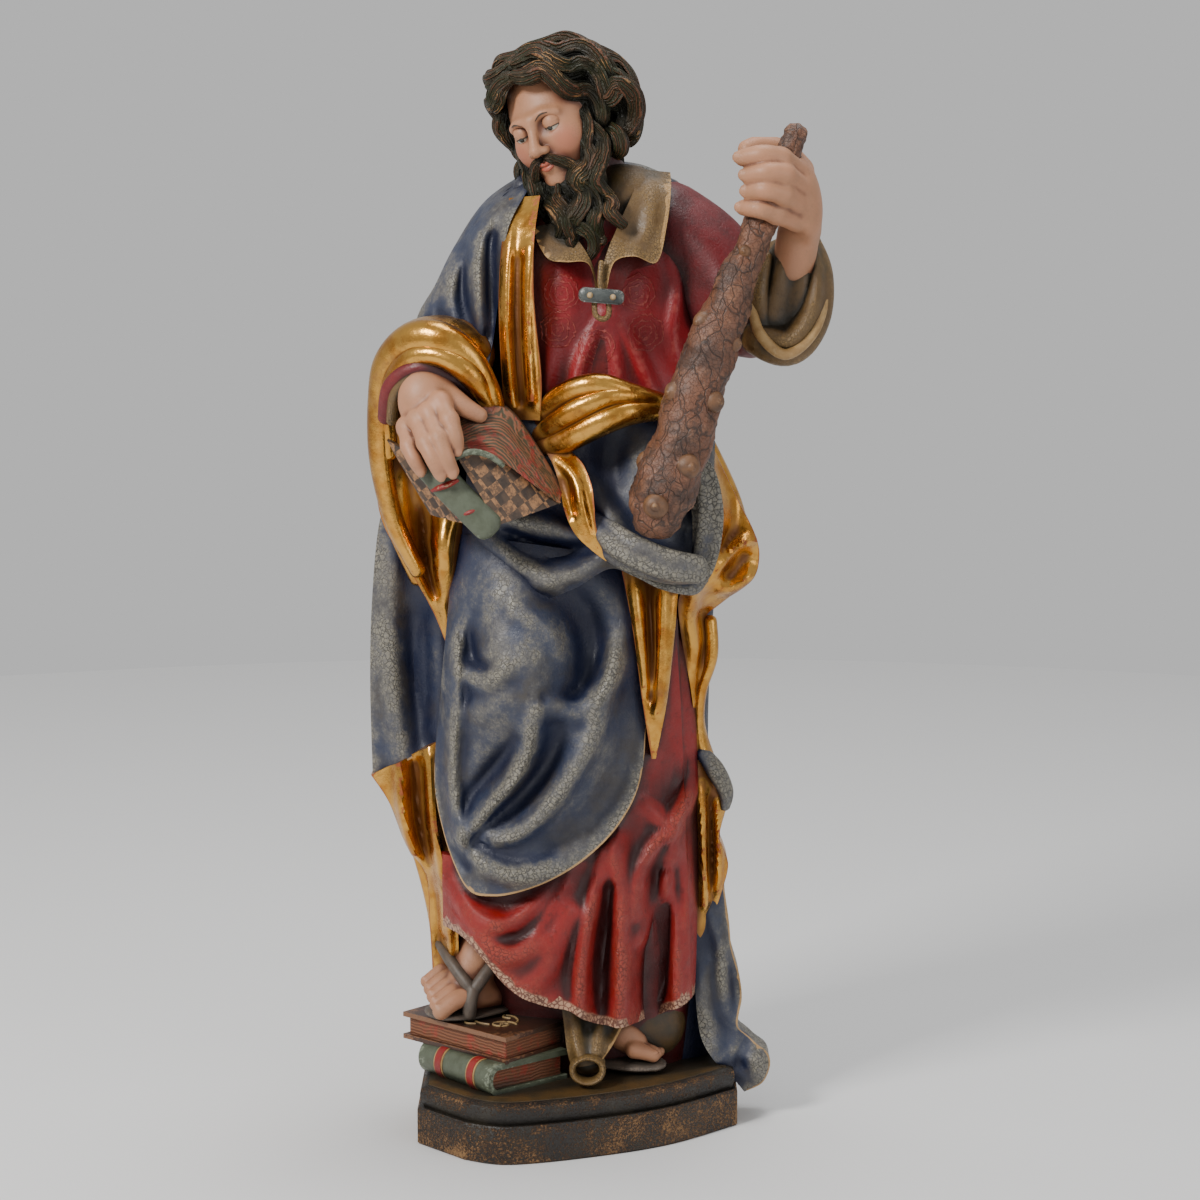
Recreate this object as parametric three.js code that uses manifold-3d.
// Painted and gilded wooden saint with a club and a book, one foot on two closed books.
// Millimetres, +Z up, the figure faces -Y. The carving is one block from its base to its hair,
// and the club is a second piece that stands in the left hand and on a fold of the mantle.
import * as THREE from "three";
import { mergeVertices } from "three/addons/utils/BufferGeometryUtils.js";
import Module from "manifold-3d";

const wasm = await Module();
wasm.setup();

// ---------------------------------------------------------------- driving dimensions
const BASE_HEIGHT = 45; // top of the ground that the figure stands on
const PLINTH_HEIGHT = 28; // lower, wider band of the base
const LIP_INSET = 3; // how far the moulded lip stands back from the plinth
const BASE_LEFT = -133;
const BASE_RIGHT = 102;
const BASE_BACK = 76;
const BASE_FRONT = -97;
const CLUB_GAP = 0.4; // clearance all round the club
const BOARD = 2.6; // thickness of a book's boards
const PAGE_INSET = 3; // how far the pages stand back from the boards

// ---------------------------------------------------------------- curves and solids
const mix = (a, b, t) => a.map((v, i) => v + (b[i] - v) * t);

// Smooth curve through rows of numbers of any length, at t from 0 to 1.
function along(rows, t) {
  const last = rows.length - 1;
  const s = Math.min(Math.max(t, 0), 1) * last;
  const i = Math.min(Math.floor(s), last - 1);
  const u = s - i;
  const at = (k) => rows[Math.min(Math.max(k, 0), last)];
  const [a, b, c, d] = [at(i - 1), at(i), at(i + 1), at(i + 2)];
  return b.map((v, k) => {
    const m0 = (c[k] - a[k]) / 2;
    const m1 = (d[k] - v) / 2;
    return (
      v * (2 * u ** 3 - 3 * u * u + 1) + m0 * (u ** 3 - 2 * u * u + u) +
      c[k] * (3 * u * u - 2 * u ** 3) + m1 * (u ** 3 - u * u)
    );
  });
}

const steps = (n) => Array.from({ length: n + 1 }, (_, i) => i / n);

// Closed solid through rings of n points. Each end is closed by a strip between the first
// `split` points of its ring and the rest.
function loft(rings, split = rings[0].length / 2) {
  const n = rings[0].length;
  const index = [];
  for (let r = 0; r < rings.length - 1; r++)
    for (let i = 0; i < n; i++) {
      const [a, b] = [r * n + i, r * n + ((i + 1) % n)];
      index.push(a, b, b + n, a, b + n, a + n);
    }
  const close = (start, flip) => {
    const rest = n - split;
    let [i, j] = [0, 0];
    while (i < split - 1 || j < rest - 1) {
      const [a, b] = [start + i, start + n - 1 - j];
      const frontNext = j === rest - 1 || (i < split - 1 && (i + 1) * (rest - 1) <= (j + 1) * (split - 1));
      const c = frontNext ? a + 1 : b - 1;
      index.push(...(flip ? [a, c, b] : [a, b, c]));
      if (frontNext) i++;
      else j++;
    }
  };
  close(0, false);
  close((rings.length - 1) * n, true);
  const geometry = new THREE.BufferGeometry();
  geometry.setAttribute("position", new THREE.Float32BufferAttribute(rings.flat(2), 3));
  geometry.setIndex(index);
  return geometry;
}

// Round or flattened rod along [x, y, z, radius] rows, with rounded ends.
// wide and deep scale its section across the view and along Y.
function rod(path, { sides = 6, cuts = path.length, wide = 1, deep = 1 } = {}) {
  const up = new THREE.Vector3(0, 1, 0);
  const ring = (p, tangent, radius) => {
    const side = new THREE.Vector3().crossVectors(tangent, up).normalize();
    const front = new THREE.Vector3().crossVectors(side, tangent);
    return steps(sides - 1).map((_, i) => {
      const a = (2 * Math.PI * (i + 0.5)) / sides;
      return p.clone()
        .addScaledVector(side, radius * wide * Math.cos(a))
        .addScaledVector(front, radius * deep * Math.sin(a))
        .toArray();
    });
  };
  const point = (t) => new THREE.Vector3(...along(path, t));
  const tangent = (t) => point(Math.min(t + 0.01, 1)).sub(point(Math.max(t - 0.01, 0))).normalize();
  const rings = steps(cuts).map((t) => ring(point(t), tangent(t), along(path, t)[3]));
  const tip = (t, sign) => {
    const radius = along(path, t)[3];
    return ring(point(t).addScaledVector(tangent(t), sign * radius * 0.6), tangent(t), radius * 0.55);
  };
  return loft([tip(0, -1), ...rings, tip(1, 1)], Math.ceil(sides / 2));
}

function ball([x, y, z], [rx, ry, rz], { turn = [0, 0, 0], detail = 9 } = {}) {
  const geometry = new THREE.SphereGeometry(1, detail, Math.round(detail * 0.7));
  geometry.scale(rx, rz, ry).rotateX(Math.PI / 2);
  const [a, b, c] = turn.map(THREE.MathUtils.degToRad);
  return geometry.applyMatrix4(
    new THREE.Matrix4().makeRotationFromEuler(new THREE.Euler(a, b, c)).setPosition(x, y, z),
  );
}

// How far the folds lift the cloth at x, z. A fold is a smooth line of [x, z, height] with a width.
function lift(folds, x, z) {
  let sum = 0;
  for (const { line, width } of folds) {
    let best = Infinity;
    let height = 0;
    const cuts = line.length * 3;
    for (let i = 0; i < cuts; i++) {
      const [a, b] = [along(line, i / cuts), along(line, (i + 1) / cuts)];
      const [dx, dz] = [b[0] - a[0], b[1] - a[1]];
      const t = Math.min(Math.max(((x - a[0]) * dx + (z - a[1]) * dz) / (dx * dx + dz * dz), 0), 1);
      const d = Math.hypot(x - a[0] - t * dx, z - a[1] - t * dz);
      if (d < best) [best, height] = [d, a[2] + (b[2] - a[2]) * t];
    }
    sum += height * Math.exp(-((best / width) ** 2));
  }
  return sum;
}

const fold = (width, ...line) => ({ width, line });

// Cloth stretched from one edge curve to another, with folds lifted towards -Y, flat behind.
function drape(from, to, { rows = 10, cols = 8, thick = 12, swell = 0, folds = [] } = {}) {
  const rings = steps(rows).map((v) => {
    const at = (u) => mix(along(from, v), along(to, v), u);
    const front = steps(cols).map((u) => {
      const [x, y, z] = at(u);
      return [x, y - swell * 4 * u * (1 - u) - lift(folds, x, z), z];
    });
    const behind = [1, 0.5, 0].map((u) => {
      const [x, y, z] = at(u);
      return [x, Math.max(y, front[Math.round(u * cols)][1]) + thick, z];
    });
    return [...front, ...behind];
  });
  return loft(rings, cols + 1);
}

// Upright trunk through [z, centre x, centre y, half width, half depth] rows.
// The flutes run down its back and fade out towards the front.
function trunk(sections, { cuts = 12, sides = 18, flutes = 0, depth = 0 } = {}) {
  return loft(
    steps(cuts).map((t) => {
      const [z, cx, cy, rx, ry] = along(sections, t);
      return steps(sides - 1).map((_, i) => {
        const a = (2 * Math.PI * (i + 0.5)) / sides;
        const back = Math.max(0, Math.sin(a) + 0.35);
        const grow = 1 + depth * back * Math.cos(flutes * a + 2.2 * t);
        return [cx + rx * grow * Math.cos(a), cy + ry * grow * Math.sin(a), z];
      });
    }),
  );
}

// Flat outline in plan, raised from z low to high, with a rounded rim if bevel is given.
function slab(outline, low, high, bevel = 0) {
  const shape = outline instanceof THREE.Shape
    ? outline
    : new THREE.Shape(outline.map(([x, y]) => new THREE.Vector2(x, y)));
  const geometry = new THREE.ExtrudeGeometry(shape, {
    depth: high - low - 2 * bevel, curveSegments: 7, steps: 1,
    bevelEnabled: bevel > 0, bevelThickness: bevel, bevelSize: bevel, bevelOffset: -bevel, bevelSegments: 2,
  });
  return geometry.translate(0, 0, low + bevel);
}

function solid(geometry) {
  const bare = geometry.clone();
  bare.deleteAttribute("normal");
  bare.deleteAttribute("uv");
  const merged = mergeVertices(bare, 1e-3);
  const triVerts = new Uint32Array(merged.index.array);
  const make = () =>
    new wasm.Manifold(
      new wasm.Mesh({ numProp: 3, vertProperties: merged.attributes.position.array, triVerts }),
    );
  const made = make();
  if (made.volume() > 0) return made;
  for (let i = 0; i < triVerts.length; i += 3)
    [triVerts[i + 1], triVerts[i + 2]] = [triVerts[i + 2], triVerts[i + 1]];
  return make();
}

const union = (geometries) => geometries.map(solid).reduce((a, b) => a.add(b));

// ---------------------------------------------------------------- base and books
function basePlan(inset) {
  const [l, r, f, b] = [BASE_LEFT + inset, BASE_RIGHT - inset, BASE_FRONT + inset, BASE_BACK - inset];
  const plan = new THREE.Shape();
  plan.moveTo(l, -22);
  plan.lineTo(l, -54);
  plan.lineTo(l + 35, f + 6);
  plan.bezierCurveTo(-60, f - 8, 50, f + 22, r, -10);
  plan.lineTo(r, b - 28);
  plan.lineTo(r - 30, b);
  plan.lineTo(l + 30, b);
  plan.lineTo(l, b - 28);
  plan.closePath();
  return plan;
}
const base = () => [
  slab(basePlan(0), 0, PLINTH_HEIGHT, 2),
  slab(basePlan(LIP_INSET), PLINTH_HEIGHT - 1, BASE_HEIGHT, 5),
];

const plate = (x0, x1, y0, y1, z0, z1) =>
  new THREE.BoxGeometry(x1 - x0, y1 - y0, z1 - z0).translate((x0 + x1) / 2, (y0 + y1) / 2, (z0 + z1) / 2);

// Closed book lying flat: round spine along Y at x = 0, two boards, pages set back inside them.
function closedBook({ length, width, thick }, turn, at) {
  const half = length / 2;
  const parts = [
    plate(0, width - PAGE_INSET, PAGE_INSET - half, half - PAGE_INSET, 1, thick - 1),
    plate(0, width, -half, half, 0, BOARD),
    plate(0, width, -half, half, thick - BOARD, thick),
    new THREE.CylinderGeometry(thick / 2, thick / 2, length, 10).translate(0, 0, thick / 2),
  ];
  const place = new THREE.Matrix4().makeRotationZ(THREE.MathUtils.degToRad(turn)).setPosition(...at);
  return parts.map((part) => part.applyMatrix4(place));
}
const booksUnderfoot = () => [
  ...closedBook({ length: 84, width: 64, thick: 23 }, 40, [-100, -48, BASE_HEIGHT - 1]),
  ...closedBook({ length: 105, width: 61, thick: 20 }, -132, [-66, 4, BASE_HEIGHT + 21]),
];

// Book held by its spine: the spine faces the front, one board opens to each side, pages between.
const heldBook = () => [
  rod([[-124, -108, 506, 9], [-100, -116, 482, 9], [-79, -118, 460, 9]], { cuts: 2, deep: 0.8 }),
  drape([[-101, -120, 514], [-70, -122, 462]], [[-62, -104, 506], [-27, -98, 475]],
    { rows: 2, cols: 2, thick: 10, swell: 3 }),
  drape([[-146, -80, 518], [-116, -82, 468]], [[-118, -114, 504], [-84, -118, 460]],
    { rows: 2, cols: 2, thick: 14 }),
  drape([[-104, -100, 520], [-72, -106, 464]], [[-60, -84, 538], [-25, -82, 481]],
    { rows: 2, cols: 2, thick: 34 }),
];

// ---------------------------------------------------------------- garments
const body = () =>
  trunk([
    [40, -8, 22, 72, 40], [110, -10, 14, 80, 46], [200, -18, 6, 86, 56], [300, -20, 2, 86, 60],
    [400, -24, 0, 84, 58], [480, -16, 0, 72, 52], [560, -4, 0, 58, 48], [625, 0, 2, 60, 46],
    [668, 0, 6, 58, 40], [694, -6, 8, 38, 30], [714, -12, 4, 24, 22],
  ], { cuts: 8, sides: 10 });

const mantleBack = () =>
  trunk([
    [44, -8, 34, 94, 36], [110, -12, 30, 102, 42], [200, -22, 24, 106, 48], [300, -34, 20, 114, 50],
    [400, -34, 20, 118, 48], [480, -26, 20, 108, 46], [560, -18, 18, 92, 44], [630, -12, 16, 82, 40],
    [672, -10, 16, 62, 34], [700, -8, 14, 36, 24],
  ], { cuts: 8, sides: 18, flutes: 6, depth: 0.08 });

const apronFolds = [
  fold(32, [-62, 398, 22], [-60, 362, 27], [-62, 325, 16]),
  fold(9, [-92, 392, -12], [-96, 372, -16], [-88, 358, -12]),
  fold(14, [-8, 402, -14], [-12, 372, -20], [-22, 348, -18]),
  fold(8, [12, 384, 9], [8, 352, 13], [-10, 334, 11], [-44, 330, 6]),
  fold(8, [-50, 322, 9], [-60, 292, 13], [-78, 262, 13], [-97, 236, 9]),
  fold(8, [6, 340, 6], [0, 312, 11], [-16, 286, 12], [-36, 260, 11], [-70, 236, 7]),
  fold(9, [-44, 300, -5], [-54, 272, -11], [-74, 248, -8]),
  fold(7, [-96, 224, 4], [-74, 212, 8], [-46, 210, 8], [-14, 226, 4]),
];
const apron = () =>
  drape(
    [[-104, -50, 432], [-84, -80, 436], [-50, -92, 432], [-10, -84, 424], [16, -56, 424]],
    [[-108, -36, 372], [-120, -40, 300], [-120, -50, 240], [-104, -70, 203], [-76, -84, 189],
      [-40, -86, 190], [-6, -80, 208], [20, -68, 240], [33, -58, 292], [32, -54, 350], [24, -54, 408]],
    { rows: 12, cols: 8, thick: 24, swell: 6, folds: apronFolds },
  );

const skirtFolds = [
  fold(9, [-108, 192, 6], [-88, 176, 12], [-62, 174, 12], [-34, 196, 6]),
  fold(8, [-88, 166, 4], [-68, 154, 10], [-46, 164, 9], [-26, 198, 5]),
  fold(8, [-20, 104, 9], [-17, 140, 10], [-8, 172, 9], [2, 208, 5]),
  fold(8, [12, 88, 10], [14, 140, 10], [12, 190, 8], [10, 226, 5]),
  fold(8, [37, 88, -14], [41, 130, -16], [46, 176, -12]),
  fold(7, [57, 88, 8], [58, 150, 9], [62, 210, 8]),
];
const skirt = () =>
  drape(
    [[-114, -46, 214], [-80, -64, 214], [-40, -66, 222], [0, -58, 240], [30, -48, 300], [46, -40, 372],
      [54, -34, 430]],
    [[-114, -44, 160], [-96, -72, 156], [-72, -80, 130], [-28, -70, 98], [12, -54, 84], [40, -36, 80],
      [68, -14, 88]],
    { rows: 9, cols: 8, thick: 36, folds: skirtFolds },
  );
const skirtSide = () =>
  drape(
    [[44, -44, 430], [38, -52, 340], [30, -56, 260], [36, -44, 180], [48, -34, 120], [54, -26, 86]],
    [[60, -4, 430], [68, -4, 340], [72, -4, 260], [72, -4, 180], [71, -4, 120], [70, -2, 86]],
    { rows: 5, cols: 3, thick: 26, swell: 8, folds: skirtFolds },
  );

const leftFlap = () =>
  drape(
    [[-150, 0, 470], [-162, -4, 430], [-167, -4, 380], [-168, -2, 300], [-167, 0, 250]],
    [[-96, -10, 470], [-98, -16, 430], [-100, -20, 380], [-104, -22, 320], [-112, -24, 278]],
    { rows: 4, cols: 4, thick: 26, folds: [fold(14, [-150, 440, 10], [-150, 340, 14], [-146, 270, 8])] },
  );
const leftLining = () =>
  drape(
    [[-160, -34, 540], [-160, -42, 490], [-153, -42, 448], [-132, -40, 396], [-106, -30, 336]],
    [[-112, -60, 540], [-104, -62, 490], [-98, -46, 448], [-98, -38, 396], [-100, -28, 336]],
    {
      rows: 7, cols: 5, thick: 34,
      folds: [
        fold(7, [-111, 462, 14], [-110, 430, 14], [-107, 396, 6]),
        fold(6, [-152, 530, 8], [-148, 470, 10], [-126, 410, 6]),
      ],
    },
  );
const leftTail = () =>
  drape(
    [[-168, -4, 256], [-154, -8, 228], [-144, -6, 200], [-130, -2, 180], [-128, 0, 150], [-126, 4, 110]],
    [[-112, -26, 288], [-112, -32, 236], [-106, -34, 204], [-104, -30, 184], [-104, -20, 150],
      [-104, -10, 110]],
    { rows: 6, cols: 3, thick: 30, folds: [fold(8, [-140, 272, 10], [-142, 214, 10])] },
  );

const rightCascade = () =>
  drape(
    [[56, -50, 520], [56, -62, 470], [54, -60, 420], [52, -30, 390], [58, -14, 330], [64, -4, 260],
      [66, 0, 200], [72, 6, 140], [80, 10, 90], [92, 12, 40]],
    [[74, -30, 520], [98, -26, 468], [113, -18, 428], [84, -6, 392], [82, 0, 362], [74, 6, 322],
      [79, 8, 278],
      [93, 10, 246], [86, 12, 226], [92, 12, 204], [89, 14, 176], [97, 14, 140], [102, 14, 96],
        [102, 14, 74],
      [122, 10, 56], [106, 12, 38]],
    {
      rows: 16, cols: 4, thick: 24,
      folds: [
        fold(8, [82, 498, 8], [82, 440, 12]), fold(6, [66, 402, 8], [70, 350, 5]),
        fold(7, [76, 246, 9], [78, 200, 8]), fold(7, [86, 160, 6], [92, 118, 8], [84, 86, 6]),
          fold(8, [104, 62, 8], [114, 50, 6]),
      ],
    },
  );

const chest = () =>
  drape(
    [[-62, -34, 690], [-66, -40, 650], [-64, -42, 600], [-60, -42, 545]],
    [[54, -24, 702], [68, -28, 650], [68, -32, 600], [66, -36, 545]],
    {
      rows: 4, cols: 6, thick: 34, swell: 16,
      folds: [fold(6, [-4, 600, 2], [-12, 570, 6], [-16, 552, 6]),
        fold(6, [8, 602, 2], [18, 578, 6], [28, 552, 6])],
    },
  );
const lapel = () =>
  drape(
    [[-60, -28, 692], [-67, -48, 650], [-71, -56, 600], [-72, -58, 545]],
    [[-40, -42, 692], [-44, -62, 650], [-45, -68, 600], [-38, -70, 540]],
    { rows: 5, cols: 3, thick: 28, folds: [fold(6, [-62, 660, 4], [-65, 600, 5], [-65, 545, 5])] },
  );
const shoulderCloth = () =>
  drape(
    [[-52, 6, 702], [-84, 4, 676], [-110, 0, 638], [-130, -6, 602], [-136, -16, 575]],
    [[-50, -34, 692], [-66, -52, 654], [-72, -58, 612], [-76, -60, 578], [-80, -62, 548]],
    {
      rows: 6, cols: 6, thick: 36, swell: 10,
      folds: [
        fold(7, [-74, 676, 5], [-88, 650, 8], [-84, 620, 6], [-84, 590, 4]),
        fold(6, [-100, 640, 6], [-112, 612, 8], [-98, 588, 5]),
      ],
    },
  );

const sleeveRolls = () => [
  rod([[-74, -74, 536, 7], [-82, -86, 564, 11], [-104, -90, 585, 12], [-130, -82, 588, 12],
    [-149, -66, 570, 11],
    [-154, -54, 540, 10], [-153, -46, 500, 9], [-147, -42, 460, 8], [-130, -38, 410, 7]],
      { cuts: 11, deep: 1.3 }),
  ball([-114, -40, 574], [40, 40, 28], { detail: 7 }),
  ball([-124, -40, 534], [30, 30, 46], { detail: 7 }),
];
const wristRing = () => [
  rod([[-150, -70, 536, 5], [-144, -84, 556, 6], [-126, -92, 568, 6], [-104, -92, 562, 6],
    [-92, -84, 550, 5]], { cuts: 5, sides: 5 }),
];

const waistFolds = () => [
  rod([[-44, -62, 528, 8], [-30, -76, 546, 10], [-2, -82, 556, 10], [28, -76, 548, 10], [52, -60, 538, 9]]),
  rod([[-46, -66, 517, 8], [-20, -84, 533, 11], [10, -86, 542, 10], [46, -72, 534, 9]]),
];
const hipFolds = () => [
  drape([[-80, -50, 534], [-86, -60, 480], [-88, -66, 436]],
    [[64, -48, 534], [72, -56, 480], [74, -58, 420]], { rows: 2, cols: 4, thick: 30, swell: 14 }),
  rod([[-14, -76, 504, 9], [-2, -86, 478, 14], [18, -98, 448, 15], [44, -100, 430, 16], [66, -86, 426, 15]],
    { deep: 0.9 }),
  rod([[-84, -76, 446, 11], [-60, -96, 430, 14], [-30, -104, 420, 13], [2, -92, 428, 11]]),
  rod([[66, -70, 482, 12], [76, -74, 460, 14], [76, -68, 436, 12], [66, -60, 410, 10]]),
];
const centreFlap = () =>
  drape(
    [[-38, -76, 508], [-32, -86, 478], [-20, -96, 452], [0, -98, 430]],
    [[-20, -80, 502], [-3, -92, 478], [-3, -100, 452], [7, -98, 430]],
    { rows: 5, cols: 3, thick: 30 },
  );
const centreStrip = () =>
  drape(
    [[16, -60, 430], [22, -62, 400], [30, -60, 340], [35, -54, 288]],
    [[64, -54, 430], [55, -56, 400], [49, -56, 340], [41, -54, 288]],
    { rows: 4, cols: 4, thick: 30, folds: [fold(6, [44, 420, 7], [42, 350, 7], [40, 310, 3])] },
  );

// ---------------------------------------------------------------- left arm, cuff and hand
const leftArm = () => [
  rod([[50, 4, 668, 32], [76, -4, 640, 33], [98, -14, 606, 33], [110, -26, 592, 28]],
    { cuts: 3, sides: 8 }),
];
const leftCuff = () => [
  rod([[112, -40, 588, 16], [134, -40, 584, 19], [149, -34, 606, 17], [151, -30, 634, 13],
    [146, -34, 654, 9]], { sides: 7, deep: 1.6 }),
  rod([[114, -40, 594, 12], [112, -42, 620, 10], [116, -42, 642, 8]], { sides: 6, deep: 1.7 }),
  rod([[128, -34, 600, 26], [134, -38, 642, 20]], { cuts: 1, sides: 7 }),
];
const FINGERS_LEFT = [
  [[134, -78, 704, 9], [116, -94, 713, 8], [99, -91, 712, 6.5]],
  [[136, -82, 692, 9], [118, -98, 701, 8], [103, -93, 700, 6.5]],
  [[136, -82, 680, 9], [118, -96, 688, 8], [104, -91, 689, 6.5]],
  [[134, -78, 668, 8.5], [115, -92, 675, 7.5], [99, -86, 678, 6]],
];
const leftHand = () => [
  ball([140, -66, 682], [14, 22, 32], { turn: [0, -10, 0], detail: 8 }),
  rod([[136, -44, 640, 15], [140, -54, 664, 16]], { cuts: 1, sides: 7 }),
  ...FINGERS_LEFT.map((path) => rod(path, { cuts: 2, sides: 5 })),
];

// ---------------------------------------------------------------- right hand
const FINGERS_RIGHT = [
  [[-108, -112, 540, 9], [-101, -122, 526, 7.5], [-98, -124, 514, 6]],
  [[-116, -114, 534, 9], [-108, -128, 514, 7.5], [-102, -128, 500, 6]],
  [[-125, -112, 530, 8.5], [-118, -128, 512, 7], [-111, -128, 498, 6]],
  [[-133, -104, 526, 8], [-132, -116, 512, 6.5], [-125, -120, 500, 5.5]],
  [[-106, -98, 552, 9], [-94, -102, 542, 8], [-84, -100, 534, 7]],
];
const rightHand = () => [
  ball([-121, -96, 541], [20, 17, 23], { detail: 7 }),
  rod([[-121, -70, 566, 16], [-121, -86, 555, 18]], { cuts: 1, sides: 7 }),
  ...FINGERS_RIGHT.map((path) => rod(path, { cuts: 2, sides: 5 })),
];

// ---------------------------------------------------------------- feet and hem
const TOES = 5;
const rightFoot = () => [
  rod([[-80, 4, 162, 17], [-87, -6, 136, 18], [-100, -18, 112, 15]], { cuts: 2, sides: 7, wide: 1.1 }),
  rod([[-82, -4, 99, 13], [-106, -20, 98, 14]], { cuts: 1, sides: 7 }),
  ...steps(TOES - 1).map((t) => {
    const [x, y, z] = mix([-100, -30, 102], [-112, -2, 116], t);
    return rod([[x, y, z, 8], [x - 16, y - 8, z - 7, 6.4 - 1.6 * t]], { cuts: 1, sides: 4 });
  }),
];
const leftFoot = () => [
  rod([[4, -6, 66, 15], [24, -14, 62, 14], [40, -20, 57, 9]], { cuts: 2, sides: 7, deep: 1.2 }),
];
const underHem = () => [
  rod([[-13, -42, 94, 11], [-14, -44, 70, 12], [-14, -44, 50, 13]], { cuts: 2, sides: 7 }),
  ball([26, 2, 76], [42, 30, 36], { detail: 7 }),
];

// ---------------------------------------------------------------- head
const HEAD_AT = [-30, -24, 735];
const HEAD_TURN = [15, -19, -34];
const headFrame = new THREE.Matrix4()
  .makeRotationFromEuler(new THREE.Euler(...HEAD_TURN.map(THREE.MathUtils.degToRad), "ZYX"))
  .setPosition(...HEAD_AT);
const onHead = (geometries) => geometries.map((geometry) => geometry.applyMatrix4(headFrame));
const mirrored = (path) => [path, path.map(([x, ...rest]) => [-x, ...rest])];

const face = () => onHead([
  ball([0, 8, 14], [33, 34, 36], { detail: 9 }),
  ball([0, -10, -10], [28, 26, 38], { detail: 9 }),
  rod([[0, -34, 8, 3.5], [0, -39, -5, 4.5], [0, -41, -11, 5.5]], { cuts: 2, sides: 6 }),
  ...mirrored([[2, -31, 11, 4], [12, -29, 14, 4.5], [24, -21, 9, 4]]).map((path) => rod(path,
    { cuts: 2, sides: 5 })),
  ...mirrored([[5, -31, 3, 3], [13, -29, 3, 5], [20, -24, 2, 3]]).map((path) => rod(path,
    { cuts: 2, sides: 5 })),
]);
const lock = (path) => rod(path, { cuts: 3, sides: 5 });
const hair = () => onHead([
  ball([2, 16, 14], [40, 34, 39], { detail: 8 }),
  ...mirrored([[4, -22, 46, 8], [20, -20, 40, 10], [34, -8, 24, 9], [38, -2, 6, 8],
    [36, 0, -16, 9]]).map(lock),
  ...mirrored([[4, -4, 54, 8], [24, -2, 46, 11], [40, 6, 28, 11], [45, 10, 6, 12],
    [42, 12, -16, 11]]).map(lock),
  ...mirrored([[4, 24, 48, 10], [26, 28, 40, 12], [40, 28, 16, 12], [40, 28, -12, 13],
    [32, 28, -32, 11]]).map(lock),
  lock([[0, 38, 38, 12], [0, 46, 14, 14], [2, 44, -16, 14], [4, 38, -38, 12]]),
]);
const beard = () => onHead([
  ball([0, -18, -36], [24, 20, 22], { detail: 8 }),
  ...mirrored([[26, -12, -8, 7], [28, -16, -32, 9], [22, -22, -54, 9], [15, -26, -70, 6]]).map(lock),
  ...mirrored([[5, -34, -40, 8], [10, -30, -58, 9], [5, -32, -76, 7], [8, -34, -86, 4]]).map(lock),
  ...mirrored([[1, -38, -17, 4], [11, -34, -23, 5], [21, -26, -36, 5]]).map((path) => rod(path,
    { cuts: 2, sides: 5 })),
]);

const collar = () => [
  rod([[-44, -46, 660, 8], [-24, -62, 645, 7], [-6, -66, 636, 5], [-1, -67, 618, 4]], { sides: 6 }),
  rod([[40, 4, 698, 8], [44, -24, 686, 9], [40, -46, 658, 9], [22, -60, 648, 7], [7, -66, 638, 5],
    [2, -67, 618, 4]], { sides: 6 }),
  ball([18, -16, 682], [30, 32, 26], { detail: 7 }),
  plate(-11, 12, -74, -60, 612, 620),
];

// ---------------------------------------------------------------- club
const CLUB = [
  [136, -66, 728, 9], [124, -72, 700, 9.5], [110, -78, 664, 11], [94, -86, 626, 13.5], [84, -92, 600, 17],
  [69, -98, 560, 21], [54, -104, 510, 24], [44, -108, 474, 25], [42, -110, 464, 20],
];
// Knots stand on the club's skin: share along it, angle round it (0 to +X, 90 to the front), radius.
const KNOTS = [
  [0.5, 150, 6], [0.66, 60, 7], [0.7, 130, 7], [0.78, 175, 8], [0.82, 55, 8], [0.92, 100, 8], [0.9, 20, 7],
];
const club = (grow = 0) => {
  const knots = KNOTS.map(([t, angle, radius]) => {
    const [x, y, z, r] = along(CLUB, t);
    const a = THREE.MathUtils.degToRad(angle);
    const size = radius + grow;
    return ball([x + 0.8 * r * Math.cos(a), y - 0.8 * r * Math.sin(a), z], [size, size, size],
      { detail: 6 });
  });
  return union([rod(CLUB.map(([x, y, z, r]) => [x, y, z, r + grow]), { sides: 10, cuts: 9 }), ...knots]);
};

// ---------------------------------------------------------------- assembly
const carved = {
  ground: [base(), booksUnderfoot(), heldBook()],
  red: [body(), skirt(), skirtSide(), chest(), leftArm(), wristRing()],
  blue: [mantleBack(), apron(), leftFlap(), shoulderCloth(), hipFolds()],
  gold: [leftLining(), leftTail(), rightCascade(), lapel(), sleeveRolls(), waistFolds(), centreFlap(),
    centreStrip()],
  skin: [face(), leftHand(), rightHand(), rightFoot(), leftFoot()],
  hair: [hair(), beard()],
  cream: [leftCuff(), collar(), underHem()],
};
const figure = union(Object.values(carved).flat(2)).subtract(club(CLUB_GAP));

function mesh(name, manifold, colour, roughness, metalness) {
  const { vertProperties, triVerts } = manifold.getMesh();
  const geometry = new THREE.BufferGeometry();
  geometry.setAttribute("position", new THREE.BufferAttribute(vertProperties, 3));
  geometry.setIndex(new THREE.BufferAttribute(triVerts, 1));
  geometry.computeVertexNormals();
  const made = new THREE.Mesh(geometry,
    new THREE.MeshStandardMaterial({ color: colour, roughness, metalness }));
  made.name = name;
  return made;
}

const statue = new THREE.Group();
statue.add(mesh("figure", figure, 0x5b5a63, 0.6, 0));
statue.add(mesh("club", club(), 0x7a4a35, 0.75, 0));

export default statue;
